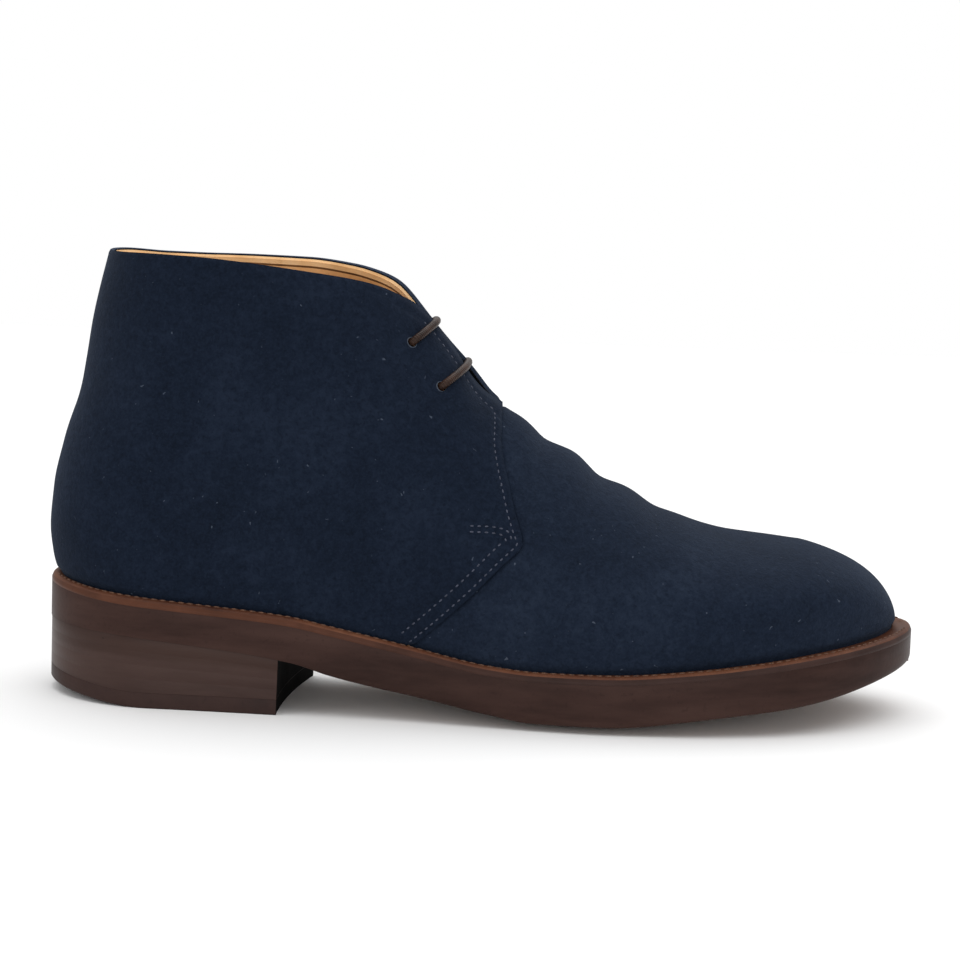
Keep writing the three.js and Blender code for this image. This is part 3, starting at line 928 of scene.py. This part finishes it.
def breast_cutter():
    """Leaning cylinder that leaves the heel's front hollow."""
    radius = 40 ** 2 / (2 * BREAST_HOLLOW)
    deselect_all()
    bpy.ops.mesh.primitive_cylinder_add(vertices=512, radius=radius * MM, depth=60 * MM)
    cutter = bpy.context.object
    lean = Matrix.Rotation(math.atan(BREAST_LEAN / 18), 4, "Y")
    turn = Matrix.Rotation(math.radians(-BREAST_TURN), 4, "Z")
    shift = Matrix.Translation(Vector((radius - BREAST_HOLLOW, 0, 10)) * MM)
    spot = Matrix.Translation(Vector(place((HEEL_LENGTH - 1.5, 0, 0))))
    cutter.data.transform(spot @ turn @ lean @ shift)
    return cutter


def make_heel():
    """Lifts and top piece, left long at the front and then cut to the breast."""
    spare, count = 14, 61
    xs = HEEL_INSET + stations(0, 2 * (HEEL_LENGTH + spare - HEEL_INSET), 2 * count - 2)[:count]
    lifts = heel_layer_profile(
        lambda x: top_piece_top(x) + LAYER_GAP, lambda x: float(underside(x)) - LAYER_GAP,
        foot=0.05, groove_count=3,
    )
    stack = plate("heel_lifts", xs, lifts, [HEEL_STACK, BREAST_SHADE], flat_ends=True)
    layer = heel_layer_profile(tread, top_piece_top, foot=0.45)
    piece = plate("heel_top_piece_leather", xs, layer, [TOP_PIECE, BREAST_SHADE], flat_ends=True)
    pieces = ((stack, "heel_leather", "heel_stack"), (piece, "top_piece", "heel_top_piece"))
    for obj, slot, node in pieces:
        cut_away(obj, breast_cutter())
        # Faces turned to the toe get the near-black painted shade of the breast.
        for face in obj.data.polygons:
            if face.normal.x > 0.9:
                face.material_index = 1
        round_edges(obj, 0.06, 1, 60)
        smooth_shade(obj, 35)
        belongs(obj, slot, node)


# ---------- the upper ----------
# Share of a quarter's grid that lies behind its slant and its facing.
SPLIT = 0.62
# How far the facings' edges lie from the axis: at the throat, more at the collar, and bowed open
# at the foot of the throat, the lateral one more than the medial one.
FACING_GAP = 1.3
COLLAR_GAP = 2.4
COLLAR_GAP_RUN = 26
THROAT_BOW = {-1: 3.2, 1: 0.3}
THROAT_BOW_X = 150
# Sewing and edges of the quarters, as heights above or below the suede.
QUARTER_RISE = 0.95
QUARTER_RISE_RUN = 34
EDGE_PRESS = 0.4
TOP_PINCH = 0.3
GROOVE_WIDTH = 0.75
GROOVE_DEPTH = 0.26
FACING_ANGLE = 52
THROAT_LIFT = {-1: -1.2, 1: 0.5}
BACK_SEAM_HALF = 0.06
QUARTER_MIDDLE = (90, 8, 80)
VAMP_MIDDLE = (220, 8, 20)


def facing_half(x, side):
    """How far a facing's edge lies from the axis, from the throat to the collar."""
    flare = COLLAR_GAP * smooth((THROAT_X - x) / COLLAR_GAP_RUN)
    return FACING_GAP + flare + THROAT_BOW[side] * bell(x - THROAT_BOW_X, 7.5)


def top_line(x, side):
    """Upper edge of a quarter: the collar, then the facing down to the throat, softly rounded."""
    collar = curve(COLLAR, side_name(side), x)
    facing_from, out_of_reach, blend = 95, 400.0, 1.6
    facing = height_at(np.maximum(x, facing_from), facing_half(x, side), side)
    facing = np.where(x < facing_from, out_of_reach, facing)
    return -blend * np.logaddexp(-collar / blend, -facing / blend)


def quarter_grid(side, columns, rows):
    """Side-view places over one quarter: columns from the back seam to the free edge."""
    u = np.linspace(0, 1, columns)
    back = clamp01(u / SPLIT)
    front = clamp01((u - SPLIT) / (1 - SPLIT))
    corner_x, corner_z = QUARTER_SLANT[0]
    foot_x = UPPER_BACK + (corner_x - UPPER_BACK) * (1 - np.cos(back * np.pi / 2))
    foot_z = welt_top(foot_x) - 2
    slant_x, slant_z = along_line(QUARTER_SLANT, front)
    slant_start = corner_z - float(welt_top(corner_x) - 2)
    low_x = np.where(front > 0, slant_x, foot_x)
    low_z = np.where(front > 0, slant_z - slant_start * (1 - smooth(front * 5)), foot_z)
    start = back_seam(155.0)
    high_x = start + (FACING_TOP_X - start) * (1 - np.cos(back * np.pi / 2))
    high_x = np.where(front > 0, FACING_TOP_X + (THROAT_X - FACING_TOP_X) * front, high_x)
    high_z = top_line(high_x, side)
    v = np.linspace(0, 1, rows)
    rise = np.sin(v * np.pi / 2)
    x = low_x[:, None] + (high_x - low_x)[:, None] * rise
    z = low_z[:, None] + (high_z - low_z)[:, None] * rise
    lean = (1 - clamp01(back / 0.75)) ** 2
    x = x + (back_seam(z) - x[0:1]) * lean[:, None]
    edge_x = curve({"z": FRONT_LINE[:, 1], "x": FRONT_LINE[:, 0]}, "x", z, "z")
    x = x + (edge_x - x[-1:]) * (smooth(front) ** 2)[:, None]
    return x, z


def row_inset(z):
    """Distance of the outer sewing from the free edge: closer along the slant than up the front."""
    return STITCH_INSET - 0.7 + 0.9 * smooth((z - 60) / 8)


def feather_tuck(x, z):
    """Upper drawn in just above the welt."""
    return -1.1 * smooth((welt_top(x) + 2.6 - z) / 2.6)


def quarter_offset(x, z, side):
    """How far a quarter stands off the plain form: edges, sewing, throat, dents, unevenness."""
    edge = np.abs(line_distance(x, z, QUARTER_LINE))
    slant = np.abs(line_distance(x, z, SLANT_LINE))
    top = top_line(np.clip(x, 0, THROAT_X), side) - z
    top = np.where(x > 118, top * np.cos(math.radians(FACING_ANGLE)), top)
    proud = QUARTER_RISE * smooth((QUARTER_RISE_RUN - edge) / QUARTER_RISE_RUN)
    proud = proud - EDGE_PRESS * smooth((1.3 - edge) / 1.3)
    outer_row = bell(edge - row_inset(z), GROOVE_WIDTH)
    inner_row = bell(slant - (row_inset(z) + ROW_GAP), GROOVE_WIDTH) * (z < 60)
    facing_row = bell(top - STITCH_INSET, GROOVE_WIDTH) * smooth((x - 100) / 20)
    grooves = GROOVE_DEPTH * (outer_row + inner_row + facing_row)
    pinch = TOP_PINCH * smooth((1.2 - top) / 1.2)
    pillow = 0.25 * bell(edge - 4, 2.5)
    lift = THROAT_LIFT[side] * (bell(x - 147, 6) * smooth((9 - top) / 9))
    y = side * half_breadth(x, z, side)
    shaped = proud + pillow + lift - grooves - pinch + feather_tuck(x, z)
    return shaped + folds(x, z, DENTS) + handmade(x, y, z)


def raised(x, z, side, offset):
    """Points of the upper moved outwards by an offset of their own."""
    return on_upper(x, z, side) + upper_normal(x, z, side) * np.asarray(offset)[..., None]


def near_ridge(ridge_x, depth):
    """Point behind the ridge, square to it, in the side view."""
    slope = float((curve(RIDGE, "z", ridge_x + 1) - curve(RIDGE, "z", ridge_x - 1)) / 2)
    size = math.hypot(slope, 1)
    return ridge_x + slope / size * depth, float(curve(RIDGE, "z", ridge_x)) - depth / size


def eyelet_spots(side):
    """Side-view place and outward direction of each lace hole."""
    for ridge_x, depth in EYELETS:
        x, z = (np.array(v) for v in near_ridge(ridge_x, depth))
        yield x, z, upper_normal(x, z, side)


def stood_on(centre, normal):
    """Matrix that takes a tool to a place and its Z axis to a direction."""
    turn = Vector(normal).to_track_quat("Z", "Y").to_matrix().to_4x4()
    return Matrix.Translation(Vector(place(centre))) @ turn


def punch_eyelets(obj, side):
    for x, z, normal in eyelet_spots(side):
        deselect_all()
        bpy.ops.mesh.primitive_cylinder_add(vertices=28, radius=EYELET_RADIUS * MM, depth=11 * MM)
        cutter = bpy.context.object
        cutter.data.transform(stood_on(on_upper(x, z, side), normal))
        cut_away(obj, cutter)


def make_quarter(side):
    x, z = quarter_grid(side, 210, 130)
    points = raised(x, z, side, quarter_offset(x, z, side))
    points[0, :, 1] = upper_axis(x[0]) + side * BACK_SEAM_HALF
    obj = shaped_grid(f"quarter_{side_name(side)}", points, [SUEDE, LIT_SUEDE_EDGE])
    thicken(obj, SUEDE_THICKNESS, QUARTER_MIDDLE, 1)
    punch_eyelets(obj, side)
    round_edges(obj, 0.3)
    smooth_shade(obj)
    stood_for = ["upper"] if side < 0 else []
    belongs(obj, "suede", *stood_for)


def make_eyelet_highlights():
    """Pale rings round each punched hole: a painted highlight on the holes' cut edges."""
    rims = []
    for side in (-1, 1):
        for x, z, normal in eyelet_spots(side):
            depth = quarter_offset(x[None], z[None], side)[0] - 0.12
            deselect_all()
            bpy.ops.mesh.primitive_torus_add(
                major_segments=32, minor_segments=8, major_radius=(EYELET_RADIUS + 0.1) * MM,
                minor_radius=0.2 * MM,
            )
            rim = bpy.context.object
            rim.data.transform(stood_on(on_upper(x, z, side) + normal * depth, normal))
            rim.data.materials.append(EYELET_HIGHLIGHT)
            rims.append(rim)
    obj = join("eyelet_highlight_rings", rims)
    only(obj)
    bpy.ops.object.shade_smooth()
    belongs(obj, "suede")


def quarter_lining(side):
    """Tan leather inside one quarter, drawn in and a little lower along its top band, which is paler
    with painted light, with a dark line under that band.
    """
    columns, rows, dark_line_row = 100, 60, 50
    bands = [0] * dark_line_row + [2] + [1] * (rows - 2 - dark_line_row)
    x, z = quarter_grid(side, columns, rows)
    top = smooth((np.linspace(0, 1, rows) - 0.9) / 0.1)[None, :]
    depth = -(SUEDE_THICKNESS + 0.25) - 0.25 * top
    points = raised(x, z, side, depth + 0.5 * folds(x, z, DENTS))
    points[..., 2] -= 0.45 * top
    if side > 0:
        points[..., 1] -= 1.1 * top * bell(x - THROAT_BOW_X, 6)
    points[0, :, 1] = upper_axis(x[0]) + side * 0.02
    obj = shaped_grid("lining", points, [LINING, LIT_LINING_EDGE, LINING_DARK_LINE], bands)
    thicken(obj, LINING_THICKNESS, QUARTER_MIDDLE)
    punch_eyelets(obj, side)
    round_edges(obj, 0.25)
    return obj


def vamp_lining():
    """Lining under the vamp, reaching a little further back than it."""
    x, z, side = vamp_grid(60, 60, 1.5)
    points = vamp_points(x, z, side, folds(x, z, CREASES) - 1.85)
    obj = shaped_grid("lining", points, [LINING])
    thicken(obj, LINING_THICKNESS, VAMP_MIDDLE)
    return obj


def make_lining():
    lining = join("lining", [quarter_lining(-1), quarter_lining(1), vamp_lining()])
    smooth_shade(lining)
    belongs(lining, "insole_leather")


# Rear edge of the vamp under the quarters, from the feather at t = 0 up to the ridge at 1.
VAMP_REAR = {"t": (0, 0.2, 0.41, 0.6, 0.8, 1.0), "x": (118, 138, 154, 153, 153.5, 154.5)}


def vamp_grid(columns, rows, reach=0.0):
    """Side-view places over the vamp: rows run from the lateral feather over the ridge."""
    lateral = rows // 2
    medial = rows - lateral
    t = np.concatenate([np.linspace(0, 1, lateral, endpoint=False), np.linspace(1, 0, medial)])
    side = np.concatenate([-np.ones(lateral), np.ones(medial)])
    rear = curve(VAMP_REAR, "x", t, "t") - reach
    s = np.sin(np.linspace(0, 1, columns) * np.pi / 2) ** 0.9
    x = rear[None, :] + (UPPER_TOE - rear)[None, :] * s[:, None]
    low = clamp01(t / 0.2)
    high = np.sin(clamp01((t - 0.2) / 0.8) * np.pi / 2)
    floor, bulge, top = welt_top(x), bulge_level(x), ridge_height(x)
    z = floor + (bulge - floor) * low[None, :] + (top - bulge) * high[None, :]
    z = z - 2.5 * smooth((0.03 - t) / 0.03)[None, :]
    return x, z, side


def vamp_points(x, z, side, offset):
    points = np.zeros((*x.shape, 3))
    for chosen, sign in ((side < 0, -1), (side > 0, 1)):
        points[:, chosen] = raised(x[:, chosen], z[:, chosen], sign, offset[:, chosen])
    return points


def vamp_offset(x, z, side):
    """How far the vamp stands off the plain form: sunk under the quarters, creased in front."""
    edge = line_distance(x, z, QUARTER_LINE)
    sunk = -1.5 * smooth((edge + 0.2) / 1.4)
    pressed = -0.25 * bell(edge, 2.2) * (edge < 0)
    y = side[None, :] * half_breadth(x, z, -1)
    fade = smooth((285 - x) / 30)
    shaped = sunk + pressed + feather_tuck(x, z)
    return shaped + folds(x, z, CREASES) * fade + handmade(x, y, z) * fade


def make_vamp():
    x, z, side = vamp_grid(190, 190)
    points = vamp_points(x, z, side, vamp_offset(x, z, side))
    # The vamp wears the lighter suede copy, which is painted light.
    obj = shaped_grid("vamp", points, [LIT_VAMP_SUEDE, LIT_SUEDE_EDGE])
    in_edit(obj, merge())
    thicken(obj, SUEDE_THICKNESS, VAMP_MIDDLE, 1)
    smooth_shade(obj, 60)
    belongs(obj, "suede")


# The tongue's sizes, a point inside the boot under it, and its top edge in the side view.
TONGUE = {"half_width": 16, "foot": 184, "thickness": 1.7, "depth": 4.9, "wave": 0.3}
TONGUE_MIDDLE = (150, 6, 60)
TONGUE_TOP = {"x": 108, "z": 129, "slope": 0.69, "corner": 12}


def tongue_top(offset, share):
    """Station where the tongue's strip at one side of the axis meets the tongue's top edge."""
    side = -1 if offset < 0 else 1
    low, high = 104.0, 180.0
    for _ in range(40):
        middle = (low + high) / 2
        edge = TONGUE_TOP["z"] + (middle - TONGUE_TOP["x"]) * TONGUE_TOP["slope"]
        edge -= TONGUE_TOP["corner"] * abs(share) ** 3
        if float(height_at(middle, abs(offset), side)) > edge:
            low = middle
        else:
            high = middle
    return low


def make_tongue():
    """Curved suede tab lying under the facings, its top just inside the collar."""
    columns, rows = 70, 41
    along = np.linspace(0, 1, columns)
    points = np.zeros((columns, rows, 3))
    for row, share in enumerate(np.linspace(-1, 1, rows)):
        offset = TONGUE["half_width"] * np.sign(share) * np.abs(share) ** 0.9
        side = -1 if offset < 0 else 1
        x = TONGUE["foot"] - (TONGUE["foot"] - tongue_top(offset, share)) * along
        z = height_at(x, abs(offset), side)
        wave = TONGUE["wave"] * np.cos(along * 9) * (1 - share * share)
        points[:, row] = raised(x, z, side, -TONGUE["depth"] - wave)
    obj = shaped_grid("tongue_suede", points, [SUEDE, LIT_SUEDE_EDGE])
    thicken(obj, TONGUE["thickness"], TONGUE_MIDDLE, 1)
    round_edges(obj, 0.4)
    smooth_shade(obj)
    belongs(obj, "tongue_suede", "tongue")


INSOLE_RISE = 4.1
INSOLE_DISH = 0.6


def insole_profile(x):
    """Over the insole's edge and into its shallow dish; the rim stands further in at the toe."""
    top = float(welt_top(x)) - WELT_THICKNESS + INSOLE_RISE
    rim = 5.8 + 2.6 * float(smooth((x - 180) / 90))
    steps = ((0, 4), (0, 0.5), (0.4, 0), (6, INSOLE_DISH * 0.7), (14, INSOLE_DISH))
    return [(rim + inset, top - drop) for inset, drop in steps]


def make_insole():
    xs = stations(5.9, SOLE_LENGTH - 8.5, 90)
    obj = plate("insole_leather", xs, insole_profile, [INSOLE], flat_ends=True)
    smooth_shade(obj, 40)
    belongs(obj, "insole_leather", "insole")


# ---------- stitches ----------
def one_stitch(size):
    """Flattened bead lying along X."""
    deselect_all()
    bpy.ops.mesh.primitive_uv_sphere_add(segments=8, ring_count=6, radius=1)
    bead = bpy.context.object
    half_sizes = (size["length"] / 2 * MM, size["radius"] * MM, size["radius"] * 0.8 * MM, 1)
    bead.data.transform(Matrix.Diagonal(half_sizes) @ Matrix.Rotation(math.pi / 2, 4, "Y"))
    return bead


def sew(name, rows, size, finish, slot):
    """Copies one stitch along rows of (place, direction, normal) and joins them."""
    bead = one_stitch(size)
    bead.data.materials.append(finish)
    copies = []
    for point, direction, normal in rows:
        x_axis = Vector(direction).normalized()
        z_axis = (Vector(normal) - x_axis * Vector(normal).dot(x_axis)).normalized()
        axes = Matrix((x_axis, z_axis.cross(x_axis), z_axis)).transposed().to_4x4()
        copy = bead.copy()
        copy.data = bead.data.copy()
        copy.data.transform(Matrix.Translation(Vector(place(point))) @ axes)
        bpy.context.collection.objects.link(copy)
        copies.append(copy)
    bpy.data.objects.remove(bead)
    obj = join(name, copies)
    only(obj)
    bpy.ops.object.shade_smooth()
    belongs(obj, slot)


def evenly(points, pitch):
    """Places every `pitch` along a line, their directions, and a reader for a line beside it."""
    reach = 0.3
    run = np.concatenate([[0], np.cumsum(np.linalg.norm(np.diff(points, axis=0), axis=1))])
    marks = np.arange(pitch / 2, run[-1], pitch)

    def read(line, shift=0.0):
        return np.stack([np.interp(marks + shift, run, column) for column in line.T], axis=-1)

    return read(points), read(points, reach) - read(points, -reach), read


def inside_line(line, gap):
    """A side-view line moved `gap` to its left."""
    step = np.gradient(line, axis=0)
    step /= np.linalg.norm(step, axis=1, keepdims=True)
    left = np.stack([-step[:, 1], step[:, 0]], axis=-1)
    return line + np.broadcast_to(gap, len(line))[:, None] * left


def on_quarter(line, side):
    """A side-view line laid on the quarter's suede, sunk by a hair."""
    x, z = line[:, 0], line[:, 1]
    return raised(x, z, side, quarter_offset(x, z, side) - 0.05)


# Short tacking rows behind the corner of the slant, in the side view.
TACKING = (
    ((146.5, 67.6), (153, 67.4), (158.4, 66.6), (160.6, 65.2), (161.6, 62.6)),
    ((146.5, 65.7), (152.6, 65.5), (157.6, 64.8), (159.3, 63.4), (159.9, 61.2)),
)


def quarter_rows(side):
    """Side-view lines of all the sewing on one quarter."""
    slant_from, slant_to = 10, 56
    outer = inside_line(QUARTER_LINE[slant_from:], row_inset(QUARTER_LINE[slant_from:, 1]))
    slant = SLANT_LINE[slant_from:slant_to]
    inner = inside_line(slant, row_inset(slant[:, 1]) + ROW_GAP)
    facing_x = np.linspace(FACING_TOP_X + 1, THROAT_X - 2.4, 60)
    facing = np.stack([facing_x, top_line(facing_x, side) - STITCH_INSET * 1.55], axis=-1)
    return [outer, inner, facing] + [fine_line(row, 200) for row in TACKING]


def make_quarter_stitches():
    rows = []
    for side in (-1, 1):
        for line in quarter_rows(side):
            places, directions, read = evenly(on_quarter(line, side), STITCH["pitch"])
            x, z = read(line).T
            rows += list(zip(places, directions, upper_normal(x, z, side)))
    sew("quarter_stitches", rows, STITCH, THREAD, "suede")


def make_welt_stitches():
    rows = []
    for side in (-1, 1):
        xs = stations(3.5, SOLE_LENGTH - 3.5, 400)
        edge = plan_edge(xs, side, WELT_STITCH_INSET)
        line = np.stack([xs, edge, welt_top(xs) + 0.02], axis=-1)
        places, directions, _ = evenly(line, WELT_STITCH["pitch"])
        rows += [(p, d, (0, 0, 1)) for p, d in zip(places, directions)]
    sew("welt_stitches", rows, WELT_STITCH, WELT_THREAD, "welt_leather")


# ---------- the lace ----------
# From inside a hole to the middle of the boot: share of the hole's distance from the ridge, and
# height above the suede.
LACE_SEAT = LACE_RADIUS + 0.05
LACE_RUN = (
    (1.0, -4.2), (1.0, -1.6), (0.97, 0.5), (0.86, LACE_SEAT), (0.6, LACE_SEAT), (0.33, LACE_SEAT),
    (0.13, LACE_SEAT + 0.1),
)


def lace_spot(eyelet, side, share, lift):
    """Point of the lace on its way between an eyelet and the ridge."""
    ridge_x, hole_depth = eyelet
    x, z = (np.array(v) for v in near_ridge(ridge_x, hole_depth * share))
    offset = quarter_offset(x[None], z[None], side)[0]
    return on_upper(x, z, side) + upper_normal(x, z, side) * (lift + offset)


def lace_route():
    """One cord: across at the lower holes, up inside and back across at the upper ones."""
    route = []
    for eyelet, start in ((EYELETS[1], 1), (EYELETS[0], -1)):
        route += [lace_spot(eyelet, start, *step) for step in LACE_RUN]
        route += [lace_spot(eyelet, -start, *step) for step in reversed(LACE_RUN)]
    return route


def make_lace():
    route = [Vector(place(p)) for p in lace_route()]
    data = bpy.data.curves.new("lace", "CURVE")
    data.dimensions = "3D"
    data.bevel_depth = LACE_RADIUS * MM
    data.bevel_resolution = 4
    data.resolution_u = 6
    data.use_fill_caps = True
    spline = data.splines.new("NURBS")
    spline.points.add(len(route) - 1)
    for point, spot in zip(spline.points, route):
        point.co = (*spot, 1)
    spline.order_u = 4
    spline.use_endpoint_u = True
    obj = bpy.data.objects.new("lace", data)
    bpy.context.collection.objects.link(obj)
    only(obj)
    bpy.ops.object.convert(target="MESH")
    obj = bpy.context.object
    obj.data.materials.append(CORD)
    bpy.ops.object.shade_smooth()
    belongs(obj, "lace", "lace_bar_upper", "lace_bar_lower")


make_studio()
make_outsole()
make_welt()
make_heel()
for side in (-1, 1):
    make_quarter(side)
make_eyelet_highlights()
make_vamp()
make_lining()
make_tongue()
make_insole()
make_quarter_stitches()
make_welt_stitches()
make_lace()

boxes = {"cad": CAD_BOX, "visual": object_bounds()}
{name: [list(corner) for corner in box] for name, box in boxes.items()}
